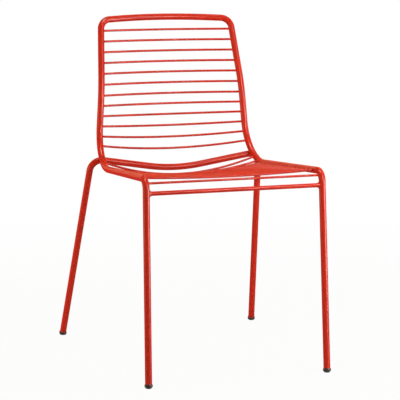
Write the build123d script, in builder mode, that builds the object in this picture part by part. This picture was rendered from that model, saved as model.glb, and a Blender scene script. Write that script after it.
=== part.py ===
from build123d import *
import math
import os

os.makedirs("parts", exist_ok=True)

# All sizes are in millimetres. The chair faces -Y and stands on z = 0, and its left side is +X.

# Stock
tube_diameter = 16.0
tube_wall = 1.5
wire_diameter = 5.5
stretcher_diameter = 10.0
weld_gap = 0.3

# Stance, between the points where the leg axes meet the floor
front_stance = 436.0
rear_stance = 516.0
stance_depth = 580.0

# Seat and back frame, between the points where the axes of its straight runs cross
seat_front_width = 425.0
seat_rear_width = 394.0
waist_width = 366.0
top_width = 339.0
seat_front_height = 468.0
seat_rear_height = 442.0
waist_height = 634.0
top_height = 798.0
seat_setback = 30.0
seat_depth = 427.0
waist_setback = 10.0
top_setback = 47.0
top_bow = 38.0
top_rise = 8.0

# Bends, to the tube axis, and the share of the top bar that is bowed
front_bend = 24.0
rear_bend = 100.0
waist_bend = 300.0
top_corner_bend = 28.0
knee_bend = 28.0
crossbar_bend = 380.0
top_bowed_share = 0.75

# Rear leg frame, whose crossbar sags and bows back between the two places where it is welded on
knee_width = 437.0
crossbar_bow = 14.0
crossbar_drop = 33.0
seating_passes = 3

# Front stretcher and the wire along the front edge of the seat
stretcher_height = 435.5
edge_wire_rise = 15.0

# Wires of the back, counted from the top: even from the top of the uprights down to the waist, and even from
# there to the rear bend. The top wire's length is its distance along the frame under the top of the uprights,
# the waist wire's is under the middle of the waist bend and the lowest wire's is above that of the rear bend.
upper_back_wires = 7
lower_back_wires = 5
back_wire_bow = 24.0
lower_back_dip = 14.0
top_back_wire = 4.0
waist_back_wire = 18.0
lowest_back_wire = 27.5

# Wires of the seat, counted from the rear: the last one's distance along the frame behind the front bend, and
# the first one's before the middle of the rear bend. A wire that starts up in the bend dips by a share more.
seat_wire_count = 15
front_seat_wire = 14.0
rear_seat_wire = 30.0
rear_seat_bow = 12.0
rear_seat_dip = 25.4
front_seat_dip = 5.5
bend_dip_share = 0.85

# Flat sides and straight runs that make up each bent wire
wire_sides = 8
wire_runs = 5

# Feet: the belly lies between two depths below the tube end, the tread is where the leg axis meets the floor,
# and the flat depth is what the floor cuts off each foot
foot_diameter = 18.7
foot_rim_diameter = 17.0
foot_tread_diameter = 12.8
foot_height = 9.8
foot_belly_top = 2.4
foot_belly_bottom = 6.2
foot_flat_depth = 2.0
foot_stem_length = 22.0
foot_clearance = 0.15
socket_relief = 1.0

tube_radius = tube_diameter / 2
wire_radius = wire_diameter / 2
bore_radius = tube_radius - tube_wall
socket_depth = foot_stem_length + socket_relief
belly_radius = foot_diameter / 2
rim_radius = foot_rim_diameter / 2
tread_radius = foot_tread_diameter / 2
stem_radius = bore_radius - foot_clearance


def mirrored(point):
    return Vector(-point.X, point.Y, point.Z)


# The tube end that a foot plugs, and the direction up its leg
def leg_end(floor_point, leg_corner):
    up = (leg_corner - floor_point).normalized()
    return floor_point + up * foot_height, up


# Seat and back frame: one tube from foot to foot, with foot sockets bored in its ends
front_floor = Vector(front_stance / 2, -stance_depth / 2, 0)
front_corner = Vector(seat_front_width / 2, front_floor.Y + seat_setback, seat_front_height)
rear_corner = Vector(seat_rear_width / 2, front_corner.Y + seat_depth, seat_rear_height)
waist = Vector(waist_width / 2, rear_corner.Y + waist_setback, waist_height)
top_corner = Vector(top_width / 2, waist.Y + top_setback, top_height)
top_middle = Vector(0, top_corner.Y + top_bow, top_corner.Z + top_rise)
top_bend = top_bowed_share * (top_middle - top_corner).length * top_corner.X / math.hypot(top_bow, top_rise)
front_end, front_up = leg_end(front_floor, front_corner)
front_ends = [(front_end, front_up), (mirrored(front_end), mirrored(front_up))]

left_corners = [front_end, front_corner, rear_corner, waist, top_corner]
right_corners = [mirrored(corner) for corner in reversed(left_corners)]
left_bends = [front_bend, rear_bend, waist_bend, top_corner_bend]

with BuildPart() as seat_back_frame:
    with BuildLine() as frame_line:
        FilletPolyline(
            *left_corners,
            top_middle,
            *right_corners,
            radius=left_bends + [top_bend] + left_bends[::-1],
        )
    with BuildSketch(Plane(front_end, z_dir=front_up)):
        Circle(tube_radius)
    sweep()
    for end, up in front_ends:
        with BuildSketch(Plane(end, z_dir=up)):
            Circle(bore_radius)
        extrude(amount=socket_depth, mode=Mode.SUBTRACT)
seat_back_frame.part.label = "seat_back_frame"
export_step(seat_back_frame.part, "parts/seat_back_frame.step")

# Distances along the frame's axis, from its left end
frame_path = frame_line.wire()
leg, front_curve, rail, rear_curve, lower_upright, waist_curve, upper_upright = frame_path.edges()[:7]
leg_top = leg.length
rail_front = leg_top + front_curve.length
rear_curve_middle = rail_front + rail.length + rear_curve.length / 2
waist_middle = rear_curve_middle + rear_curve.length / 2 + lower_upright.length + waist_curve.length / 2
upright_top = waist_middle + waist_curve.length / 2 + upper_upright.length


def frame_point(distance):
    return frame_path.position_at(distance, position_mode=PositionMode.LENGTH)


# Rear leg frame: one tube whose crossbar passes behind and under the frame's rear bends
rear_floor = Vector(rear_stance / 2, stance_depth / 2, 0)
weld_spot = frame_point(rear_curve_middle)
frame_run = frame_path.tangent_at(rear_curve_middle, position_mode=PositionMode.LENGTH)
crossbar_run = Vector(weld_spot.X, -crossbar_bow, crossbar_drop)
outward = frame_run.cross(crossbar_run).normalized()
crossbar_spot = weld_spot + outward * (tube_diameter + weld_gap)


# Corners of the left half of the rear leg frame, from its floor point to the middle of its crossbar
def rear_corners(spot):
    middle = spot - crossbar_run * (spot.X / crossbar_run.X)
    knee = middle + crossbar_run * (knee_width / 2 / crossbar_run.X)
    return rear_floor, knee, middle


# The knee's bend leads the crossbar away from the seat frame, so it is moved back until it seats
for seating_pass in range(seating_passes):
    with BuildLine() as half_line:
        FilletPolyline(*rear_corners(crossbar_spot), radius=knee_bend)
    play = half_line.wire().distance_to(frame_path) - tube_diameter - weld_gap
    crossbar_spot -= outward * play

rear_floor, knee, crossbar_middle = rear_corners(crossbar_spot)
rear_end, rear_up = leg_end(rear_floor, knee)
rear_ends = [(rear_end, rear_up), (mirrored(rear_end), mirrored(rear_up))]

with BuildPart() as rear_leg_frame:
    with BuildLine():
        FilletPolyline(
            rear_end,
            knee,
            crossbar_middle,
            mirrored(knee),
            mirrored(rear_end),
            radius=[knee_bend, crossbar_bend, knee_bend],
        )
    with BuildSketch(Plane(rear_end, z_dir=rear_up)):
        Circle(tube_radius)
    sweep()
    for end, up in rear_ends:
        with BuildSketch(Plane(end, z_dir=up)):
            Circle(bore_radius)
        extrude(amount=socket_depth, mode=Mode.SUBTRACT)
rear_leg_frame.part.label = "rear_leg_frame"
export_step(rear_leg_frame.part, "parts/rear_leg_frame.step")

# Front stretcher: a straight rod, coped to the front legs
stretcher_spot = front_floor + (front_corner - front_floor) * (stretcher_height / front_corner.Z)
with BuildPart() as front_stretcher:
    with BuildSketch(Plane((0, stretcher_spot.Y, stretcher_spot.Z), z_dir=(1, 0, 0))):
        Circle(stretcher_diameter / 2)
    extrude(amount=stretcher_spot.X, both=True)
    for spot, up in ((stretcher_spot, front_up), (mirrored(stretcher_spot), mirrored(front_up))):
        with BuildSketch(Plane(spot, z_dir=up)):
            Circle(tube_radius + weld_gap)
        extrude(amount=stretcher_diameter, both=True, mode=Mode.SUBTRACT)
front_stretcher.part.label = "front_stretcher"
export_step(front_stretcher.part, "parts/front_stretcher.step")


# Points of a wire between the inner sides of the frame, bowed back and dipped in its middle
def wire_points(distance, bow, dip, runs):
    centre = frame_point(distance)
    reach = centre.X - tube_radius - weld_gap
    shares = [1 - 2 * step / runs for step in range(runs + 1)]
    return [
        Vector(reach * share, centre.Y + bow * (1 - share**2), centre.Z - dip * (1 - share**2))
        for share in shares
    ]


# A wire's end point moved outwards along its run, so that the end can be trimmed flush
def run_on(end, inner):
    return end + (end - inner) * (wire_diameter / abs(end.X - inner.X))


# Height of the line through the seat rail's straight run
def rail_height(y):
    return front_corner.Z + (rear_corner.Z - front_corner.Z) * (y - front_corner.Y) / seat_depth


first_back_place = upright_top - top_back_wire
waist_back_place = waist_middle - waist_back_wire
last_back_place = rear_curve_middle + lowest_back_wire
upper_back_pitch = (first_back_place - waist_back_place) / (upper_back_wires - 1)
lower_back_pitch = (waist_back_place - last_back_place) / lower_back_wires
seat_wire_span = rear_curve_middle - rear_seat_wire - rail_front - front_seat_wire
seat_wire_pitch = seat_wire_span / (seat_wire_count - 1)

wires = {}
for number in range(1, upper_back_wires + 1):
    place = first_back_place - (number - 1) * upper_back_pitch
    wires[f"back_wire_{number:02d}"] = wire_points(place, back_wire_bow, 0, wire_runs)
for row in range(1, lower_back_wires + 1):
    place = waist_back_place - row * lower_back_pitch
    dip = lower_back_dip * (row / lower_back_wires) ** 2
    wires[f"back_wire_{upper_back_wires + row:02d}"] = wire_points(place, back_wire_bow, dip, wire_runs)
for number in range(1, seat_wire_count + 1):
    rows_to_front = seat_wire_count - number
    place = rail_front + front_seat_wire + rows_to_front * seat_wire_pitch
    rearness = rows_to_front / (seat_wire_count - 1)
    bow = rear_seat_bow * rearness**2
    rise = frame_point(place).Z - rail_height(frame_point(place).Y)
    dip = front_seat_dip + (rear_seat_dip - front_seat_dip) * rearness + bend_dip_share * rise
    wires[f"seat_wire_{number:02d}"] = wire_points(place, bow, dip, wire_runs)
wires["front_edge_wire"] = wire_points(leg_top + edge_wire_rise, 0, 0, 1)

for name, points in wires.items():
    left_end = run_on(points[0], points[1])
    right_end = run_on(points[-1], points[-2])
    with BuildPart() as wire:
        with BuildLine():
            Polyline(left_end, *points[1:-1], right_end)
        with BuildSketch(Plane(left_end, z_dir=points[1] - points[0])):
            RegularPolygon(wire_radius, wire_sides)
        sweep(transition=Transition.RIGHT)
        split(bisect_by=Plane(points[0], z_dir=(-1, 0, 0)))
        split(bisect_by=Plane(points[-1], z_dir=(1, 0, 0)))
    wire.part.label = name
    export_step(wire.part, f"parts/{name}.step")

# Feet: plastic beads with a rim under the tube end, a stem in its socket and a flat on the floor
tread_slope = (belly_radius - tread_radius) / (foot_height - foot_belly_bottom)
uncut_height = foot_height + foot_flat_depth
uncut_radius = tread_radius - tread_slope * foot_flat_depth
with BuildPart() as feet:
    for end, up in front_ends + rear_ends:
        # The profile's first axis runs up the leg and its second one runs outwards
        with BuildSketch(Plane(end, x_dir=up, z_dir=up.cross(Vector(0, 1, 0)))):
            Polygon(
                (foot_stem_length, 0),
                (foot_stem_length, stem_radius),
                (0, stem_radius),
                (0, rim_radius),
                (-foot_belly_top, belly_radius),
                (-foot_belly_bottom, belly_radius),
                (-uncut_height, uncut_radius),
                (-uncut_height, 0),
                align=None,
            )
        revolve(axis=Axis(end, up))
    split(bisect_by=Plane.XY)
feet.part.label = "feet"
export_step(feet.part, "parts/feet.step")
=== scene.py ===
import math

import bpy
from mathutils import Matrix, Vector
from mathutils.bvhtree import BVHTree


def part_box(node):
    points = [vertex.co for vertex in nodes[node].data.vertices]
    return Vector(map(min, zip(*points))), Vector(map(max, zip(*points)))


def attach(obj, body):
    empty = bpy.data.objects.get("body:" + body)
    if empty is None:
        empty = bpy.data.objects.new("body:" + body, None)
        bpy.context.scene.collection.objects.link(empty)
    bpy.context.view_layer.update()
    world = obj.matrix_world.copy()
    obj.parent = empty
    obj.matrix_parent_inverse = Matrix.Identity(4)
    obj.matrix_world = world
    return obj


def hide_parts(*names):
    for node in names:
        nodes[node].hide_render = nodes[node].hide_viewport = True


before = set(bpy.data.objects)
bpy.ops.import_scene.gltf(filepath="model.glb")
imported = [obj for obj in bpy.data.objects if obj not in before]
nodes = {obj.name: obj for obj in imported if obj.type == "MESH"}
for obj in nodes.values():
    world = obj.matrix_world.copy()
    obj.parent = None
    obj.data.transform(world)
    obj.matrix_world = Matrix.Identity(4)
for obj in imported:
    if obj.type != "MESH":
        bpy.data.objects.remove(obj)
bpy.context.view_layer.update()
scene = bpy.context.scene
scene.view_settings.view_transform = "Standard"
print("frame loaded,", len(nodes), "nodes")


# camera at the photograph's viewpoint, for a 400 x 400 image

cameraSetup = {
    "place": (-1.37169, -3.81391, 0.98566),
    "pitch": -8.582,     # degrees, below the horizon
    "yaw": -19.898,      # degrees, turned towards +X
    "roll": 0.043,
    "lens": 153.34,      # mm
    "sensor": 36.0,      # mm
    "clip": (0.1, 50.0),
}

def buildCamera(setup):
    data = bpy.data.cameras.new("photoCamera")
    data.lens = setup["lens"]
    data.sensor_width = setup["sensor"]
    data.clip_start, data.clip_end = setup["clip"]
    camera = bpy.data.objects.new("photoCamera", data)
    turn = Matrix.Rotation(math.radians(setup["yaw"]), 4, "Z")
    tilt = Matrix.Rotation(math.radians(90 + setup["pitch"]), 4, "X")   # unturned, it looks straight down
    lean = Matrix.Rotation(math.radians(setup["roll"]), 4, "Z")
    camera.matrix_world = Matrix.Translation(setup["place"]) @ turn @ tilt @ lean
    scene.collection.objects.link(camera)
    scene.camera = camera

buildCamera(cameraSetup)
print("camera placed")


# small helpers for shader nodes

def addNode(tree, kind, **inputs):
    node = tree.nodes.new(kind)
    for name, value in inputs.items():
        node.inputs[name].default_value = value
    return node

def addMath(tree, operation):
    node = tree.nodes.new("ShaderNodeMath")
    node.operation = operation
    return node

def emptyMaterial(name):
    material = bpy.data.materials.new(name)
    material.use_nodes = True
    material.node_tree.nodes.clear()
    return material, material.node_tree


# fine grain of a sprayed or moulded skin: a mottled mask, a roughness and a height

grainLook = {
    "peel": {"Detail": 2.0, "Roughness": 0.45},
    "mottle": {"Detail": 4.0, "Roughness": 0.6},
    "mottleRange": (0.3, 0.7),   # part of the noise that is stretched over the whole mask
    "mottleMiddle": 0.5,         # where the roughness is the plain one
}

def buildSkinGroup(look):
    tree = bpy.data.node_groups.new("skinGrain", "ShaderNodeTree")
    for name in ("Peel Scale", "Mottle Scale", "Roughness", "Roughness Spread"):
        tree.interface.new_socket(name=name, in_out="INPUT", socket_type="NodeSocketFloat")
    for name in ("Mottle", "Roughness", "Height"):
        tree.interface.new_socket(name=name, in_out="OUTPUT", socket_type="NodeSocketFloat")
    entry = tree.nodes.new("NodeGroupInput")
    leave = tree.nodes.new("NodeGroupOutput")
    place = tree.nodes.new("ShaderNodeTexCoord")
    link = tree.links.new

    peel = addNode(tree, "ShaderNodeTexNoise", **look["peel"])
    link(place.outputs["Object"], peel.inputs["Vector"])
    link(entry.outputs["Peel Scale"], peel.inputs["Scale"])

    mottle = addNode(tree, "ShaderNodeTexNoise", **look["mottle"])
    link(place.outputs["Object"], mottle.inputs["Vector"])
    link(entry.outputs["Mottle Scale"], mottle.inputs["Scale"])
    spread = tree.nodes.new("ShaderNodeMapRange")
    spread.inputs["From Min"].default_value, spread.inputs["From Max"].default_value = look["mottleRange"]
    link(mottle.outputs["Fac"], spread.inputs["Value"])

    centred = addMath(tree, "SUBTRACT")
    centred.inputs[1].default_value = look["mottleMiddle"]
    link(spread.outputs["Result"], centred.inputs[0])
    rough = addMath(tree, "MULTIPLY_ADD")
    link(centred.outputs[0], rough.inputs[0])
    link(entry.outputs["Roughness Spread"], rough.inputs[1])
    link(entry.outputs["Roughness"], rough.inputs[2])

    link(spread.outputs["Result"], leave.inputs["Mottle"])
    link(rough.outputs[0], leave.inputs["Roughness"])
    link(peel.outputs["Fac"], leave.inputs["Height"])
    return tree

skinGroup = buildSkinGroup(grainLook)


# red powder coat on steel, and black moulded plastic

redCoat = {
    "light": (0.59, 0.02, 0.003, 1),
    "deep": (0.56, 0.018, 0.0025, 1),
    "grain": {"Peel Scale": 620.0, "Mottle Scale": 45.0, "Roughness": 0.34, "Roughness Spread": 0.08},
    "peelHeight": 0.00006,   # metres
    "peelStrength": 0.1,
    "gloss": {"Specular IOR Level": 0.0, "Coat Weight": 0.06, "Coat Roughness": 0.28, "Coat IOR": 3.0},
}

blackPlastic = {
    "light": (0.045, 0.038, 0.036, 1),
    "deep": (0.022, 0.019, 0.018, 1),
    "grain": {"Peel Scale": 1500.0, "Mottle Scale": 160.0, "Roughness": 0.5, "Roughness Spread": 0.12},
    "peelHeight": 0.00005,
    "peelStrength": 0.35,
    "gloss": {"Specular IOR Level": 0.2},
}

def buildSkin(name, look):
    material, tree = emptyMaterial(name)
    link = tree.links.new
    output = tree.nodes.new("ShaderNodeOutputMaterial")
    shader = tree.nodes.new("ShaderNodeBsdfPrincipled")
    for socket, value in look["gloss"].items():
        shader.inputs[socket].default_value = value
    grain = tree.nodes.new("ShaderNodeGroup")
    grain.node_tree = skinGroup
    for socket, value in look["grain"].items():
        grain.inputs[socket].default_value = value
    colour = tree.nodes.new("ShaderNodeMix")
    colour.data_type = "RGBA"
    colour.inputs["A"].default_value = look["deep"]
    colour.inputs["B"].default_value = look["light"]
    bump = addNode(tree, "ShaderNodeBump", Strength=look["peelStrength"], Distance=look["peelHeight"])
    link(grain.outputs["Mottle"], colour.inputs["Factor"])
    link(colour.outputs["Result"], shader.inputs["Base Color"])
    link(grain.outputs["Roughness"], shader.inputs["Roughness"])
    link(grain.outputs["Height"], bump.inputs["Height"])
    link(bump.outputs["Normal"], shader.inputs["Normal"])
    link(shader.outputs["BSDF"], output.inputs["Surface"])
    return material

redSteel = buildSkin("redPowderCoat", redCoat)
footPlastic = buildSkin("blackPlastic", blackPlastic)
print("materials made")


# the two bent tubes and the feet keep their CAD shape, and the feet get rounded edges

footLook = {
    "round": 0.0016,    # metres
    "segments": 4,
    "angle": 18.0,      # degrees between the faces of an edge, from which it is rounded
}

def finishNode(name, material):
    mesh = nodes[name].data
    mesh.materials.clear()
    mesh.materials.append(material)
    for face in mesh.polygons:
        face.use_smooth = True

def roundFeet(look):
    rounding = nodes["feet"].modifiers.new("rounding", "BEVEL")
    rounding.width = look["round"]
    rounding.segments = look["segments"]
    rounding.limit_method = "ANGLE"
    rounding.angle_limit = math.radians(look["angle"])

for name in ("seat_back_frame", "rear_leg_frame"):
    finishNode(name, redSteel)
finishNode("feet", footPlastic)
roundFeet(footLook)
print("tubes and feet finished")


# round bars with a weld fillet at each end, where they meet the frame tube

tangentStep = 0.01      # share of half a bar to each side, over which its direction is taken
frameTree = BVHTree.FromObject(nodes["seat_back_frame"], bpy.context.evaluated_depsgraph_get())
rearTree = BVHTree.FromObject(nodes["rear_leg_frame"], bpy.context.evaluated_depsgraph_get())

def ringMesh(name, rings):
    count = len(rings[0])
    points = [point for ring in rings for point in ring]
    faces = []
    for row in range(len(rings) - 1):
        for k in range(count):
            nextK = (k + 1) % count
            low, high = row * count, (row + 1) * count
            faces.append((low + k, low + nextK, high + nextK, high + k))
    mesh = bpy.data.meshes.new(name)
    mesh.from_pydata(points, [], faces)
    for face in mesh.polygons:
        face.use_smooth = True
    mesh.update()
    piece = bpy.data.objects.new(name, mesh)
    scene.collection.objects.link(piece)
    return piece

def addPiece(piece, *stoodFor):
    piece.data.materials.append(redSteel)
    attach(piece, "root")
    if stoodFor:
        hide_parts(*stoodFor)

def ringAxes(along):
    up = Vector((0, 0, 1))
    side = along.cross(up).normalized()
    return side, side.cross(along).normalized()

def ringSpokes(axes, count):
    angles = [2 * math.pi * k / count for k in range(count)]
    return [axes[0] * math.cos(angle) + axes[1] * math.sin(angle) for angle in angles]

# rings of a fillet that runs from the bar out onto the tube; flare gives its width along each spoke
def weldRings(look, centre, outward, spokes, flare):
    start = centre - outward * look["backOff"]
    rings = []
    for step in range(look["weldSteps"] + 1):
        turn = math.pi / 2 * (1 - step / look["weldSteps"])
        ring = []
        for spoke in spokes:
            width = flare(spoke)
            reach = look["radius"] + width * (1 - math.sin(turn))
            hit = frameTree.ray_cast(start + spoke * reach, outward)[0]
            ring.append(hit - outward * (width * (1 - math.cos(turn)) - look["sink"]))
        rings.append(ring)
    return rings

# path gives the bar's middle line from -1 at one end to 1 at the other
def buildBar(name, look, path, flare):
    steps = look["steps"]
    shares = [-1 + 2 * step / steps for step in range(steps + 1)]
    rings = []
    for share in shares:
        along = (path(share + tangentStep) - path(share - tangentStep)).normalized()
        spokes = ringSpokes(ringAxes(along), look["sides"])
        if share == shares[0] or share == shares[-1]:
            outward = along * (1 if share > 0 else -1)
            ends = weldRings(look, path(share), outward, spokes, flare)
            rings += ends if share > 0 else ends[::-1]
        else:
            rings.append([path(share) + spoke * look["radius"] for spoke in spokes])
    addPiece(ringMesh(name + "_bar", rings), name)


# cross wires of the seat and back, bowed evenly through the CAD wires' ends and middles

wireLook = {
    "radius": 0.00275,     # metres, as all lengths here
    "sides": 20,
    "steps": 40,
    "cadRuns": 5,          # straight runs of each CAD wire
    "weldWidth": 0.0016,
    "weldSteps": 5,
    "backOff": 0.006,      # how far inside the bar's end the look for the tube starts
    "sink": 0.0002,        # how far the weld's rim reaches into the tube
}

def wirePath(name, look):
    low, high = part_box(name)
    radius = look["radius"]
    reached = 1 - 1 / look["cadRuns"] ** 2      # how much of the bow a CAD wire's flat middle run reaches
    bow = max(0, high.y - low.y - 2 * radius) / reached
    dip = max(0, high.z - low.z - 2 * radius) / reached

    def at(share):
        bent = 1 - share * share
        return Vector((high.x * share, low.y + radius + bow * bent, high.z - radius - dip * bent))
    return at

def wireFlare(spoke):
    return wireLook["weldWidth"]

wireNames = sorted(name for name in nodes if "wire" in name)
for name in wireNames:
    buildBar(name, wireLook, wirePath(name, wireLook), wireFlare)
print(len(wireNames), "wires bent and welded")


# straight rod between the front legs, with a longer weld up and down the leg

rodLook = {
    "radius": 0.005,
    "sides": 32,
    "steps": 24,
    "weldUp": 0.0065,
    "weldAside": 0.0016,
    "weldSteps": 7,
    "backOff": 0.012,
    "sink": 0.0002,
}

def rodPath(name):
    low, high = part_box(name)
    return lambda share: Vector((high.x * share, (low.y + high.y) / 2, (low.z + high.z) / 2))

def rodFlare(spoke):
    return rodLook["weldAside"] + (rodLook["weldUp"] - rodLook["weldAside"]) * spoke.z ** 2

buildBar("front_stretcher", rodLook, rodPath("front_stretcher"), rodFlare)
print("front stretcher welded")


# weld beads where the rear crossbar passes under the bends of the seat frame

beadLook = {
    "start": (0.196, 0.147, 0.462),   # near the left crossing, and mirrored for the right one
    "passes": 60,                     # steps between the two tubes to their nearest points
    "radius": 0.0064,
    "hollow": 0.0011,
    "sides": 40,
    "steps": 6,
    "sink": 0.0002,
}

def buildCrossingWeld(name, look, side):
    x, y, z = look["start"]
    onRear = Vector((side * x, y, z))
    for step in range(look["passes"]):
        onFrame = frameTree.find_nearest(onRear)[0]
        onRear = rearTree.find_nearest(onFrame)[0]
    middle = (onFrame + onRear) / 2
    across = (onRear - onFrame).normalized()
    first = across.cross(Vector((1, 0, 0))).normalized()
    columns = []
    for spoke in ringSpokes((first, across.cross(first)), look["sides"]):
        edge = middle + spoke * look["radius"]
        top = frameTree.ray_cast(edge, -across)[0] - across * look["sink"]
        foot = rearTree.ray_cast(edge, across)[0] + across * look["sink"]
        column = []
        for step in range(look["steps"] + 1):
            share = step / look["steps"]
            column.append(top.lerp(foot, share) - spoke * look["hollow"] * math.sin(math.pi * share))
        columns.append(column)
    rings = [[column[row] for column in columns] for row in range(look["steps"] + 1)]
    addPiece(ringMesh(name, rings))

for name, side in (("crossing_weld_left", 1), ("crossing_weld_right", -1)):
    buildCrossingWeld(name, beadLook, side)
print("crossing welds made")


# pale floor, white surroundings and soft studio lamps

studio = {
    "floorSize": 60.0,
    "floorColour": (0.55, 0.55, 0.55, 1),
    "floorWhite": 1.0,
    "floorShow": 0.96,          # how much of the floor's own white hides its shading, near the chair
    "floorReach": (0.5, 2.5),   # metres from the middle over which the floor turns all white
    "worldWhite": 1.0,
    "worldLight": 0.18,
}

# power in watts; a lamp with glintOnly shows in the gloss of the coat and adds no other light
lamps = {
    "rightBank": {
        "place": (1.38, -1.15, 0.36), "aim": (0, 0, 0.4), "size": (0.5, 0.7),
        "power": 12.5, "colour": (1, 0.97, 0.95)},
    "rightWindow": {
        "place": (1.25, -1.25, 1.64), "aim": (0, 0.1, 0.65), "size": (1.0, 0.5),
        "power": 10, "colour": (1, 0.95, 0.85)},
    "frontBox": {
        "place": (0.48, -1.15, 1.08), "aim": (0, 0.25, 0.7), "size": (0.4, 0.22),
        "power": 6.5, "colour": (1, 0.97, 0.88)},
    "overhead": {
        "place": (-0.2, -0.25, 2.6), "aim": (-0.1, 0, 0.45), "size": (0.4, 0.4),
        "power": 16, "colour": (1, 0.88, 0.68)},
    "topSoftbox": {
        "place": (0.8, 1.0, 2.3), "aim": (0, 0, 0.5), "size": (1.2, 1.0),
        "power": 15, "colour": (1, 0.76, 0.4)},
    "backGlow": {
        "place": (0.7, 3.0, 1.3), "aim": (0, 0, 0.5), "size": (2.2, 0.7),
        "power": 24, "colour": (1, 0.76, 0.45)},
    "leftBank": {
        "place": (-1.78, 0.3, 0.4), "aim": (0, 0, 0.4), "size": (1.6, 0.7),
        "power": 20.5, "colour": (1, 0.74, 0.45)},
    "rightGlint": {
        "place": (1.36, -1.17, 0.38), "aim": (0, 0, 0.4), "size": (0.45, 0.75),
        "power": 38, "colour": (1, 0.97, 0.97), "glintOnly": True},
    "frontGlint": {
        "place": (0.6, -1.75, 1.0), "aim": (0, 0.25, 0.7), "size": (0.45, 0.3),
        "power": 22, "colour": (1, 0.95, 0.9), "glintOnly": True},
    "backGlint": {
        "place": (0.1, 2.6, 1.2), "aim": (0, 0, 0.5), "size": (3.0, 1.8),
        "power": 100, "colour": (1, 0.68, 0.4), "glintOnly": True},
    "topGlint": {
        "place": (-0.22, -0.3, 2.6), "aim": (-0.2, -0.2, 0.45), "size": (0.5, 0.5),
        "power": 60, "colour": (1, 0.85, 0.7), "glintOnly": True},
}

# 1 where the camera, a reflection or a clear material looks at the background
def whiteRays(tree):
    path = tree.nodes.new("ShaderNodeLightPath")
    total = path.outputs["Is Camera Ray"]
    for name in ("Is Glossy Ray", "Is Transmission Ray"):
        both = addMath(tree, "MAXIMUM")
        tree.links.new(total, both.inputs[0])
        tree.links.new(path.outputs[name], both.inputs[1])
        total = both.outputs[0]
    return total

def buildFloor(setup):
    half = setup["floorSize"] / 2
    corners = [(-half, -half, 0), (half, -half, 0), (half, half, 0), (-half, half, 0)]
    mesh = bpy.data.meshes.new("floor")
    mesh.from_pydata(corners, [], [(0, 1, 2, 3)])
    floor = bpy.data.objects.new("floor", mesh)
    scene.collection.objects.link(floor)
    material, tree = emptyMaterial("paleFloor")
    link = tree.links.new
    output = tree.nodes.new("ShaderNodeOutputMaterial")
    plain = addNode(tree, "ShaderNodeBsdfDiffuse", Color=setup["floorColour"])
    white = addNode(tree, "ShaderNodeEmission", Strength=setup["floorWhite"])
    seen = whiteRays(tree)
    place = tree.nodes.new("ShaderNodeTexCoord")
    far = tree.nodes.new("ShaderNodeVectorMath")
    far.operation = "LENGTH"
    fade = tree.nodes.new("ShaderNodeMapRange")
    fade.interpolation_type = "SMOOTHSTEP"
    fade.inputs["From Min"].default_value, fade.inputs["From Max"].default_value = setup["floorReach"]
    fade.inputs["To Min"].default_value = setup["floorShow"]
    share = addMath(tree, "MULTIPLY")
    mix = tree.nodes.new("ShaderNodeMixShader")
    link(place.outputs["Object"], far.inputs[0])
    link(far.outputs["Value"], fade.inputs["Value"])
    link(fade.outputs["Result"], share.inputs[1])
    link(seen, share.inputs[0])
    link(share.outputs[0], mix.inputs["Fac"])
    link(plain.outputs["BSDF"], mix.inputs[1])
    link(white.outputs["Emission"], mix.inputs[2])
    link(mix.outputs["Shader"], output.inputs["Surface"])
    mesh.materials.append(material)

def buildWorld(setup):
    world = bpy.data.worlds.new("studio")
    scene.world = world
    world.use_nodes = True
    tree = world.node_tree
    tree.nodes.clear()
    link = tree.links.new
    output = tree.nodes.new("ShaderNodeOutputWorld")
    back = tree.nodes.new("ShaderNodeBackground")
    level = tree.nodes.new("ShaderNodeMix")
    level.inputs["A"].default_value = setup["worldLight"]
    level.inputs["B"].default_value = setup["worldWhite"]
    link(whiteRays(tree), level.inputs["Factor"])
    link(level.outputs["Result"], back.inputs["Strength"])
    link(back.outputs["Background"], output.inputs["Surface"])

def buildLamp(name, look):
    data = bpy.data.lights.new(name, "AREA")
    data.shape = "RECTANGLE"
    data.size, data.size_y = look["size"]
    data.energy = look["power"]
    data.color = look["colour"]
    lamp = bpy.data.objects.new(name, data)
    place = Vector(look["place"])
    lamp.location = place
    lamp.rotation_euler = (Vector(look["aim"]) - place).to_track_quat("-Z", "Y").to_euler()
    lamp.visible_camera = False
    lamp.visible_diffuse = not look.get("glintOnly", False)
    scene.collection.objects.link(lamp)

buildFloor(studio)
buildWorld(studio)
for name, look in lamps.items():
    buildLamp(name, look)
print("studio lit")
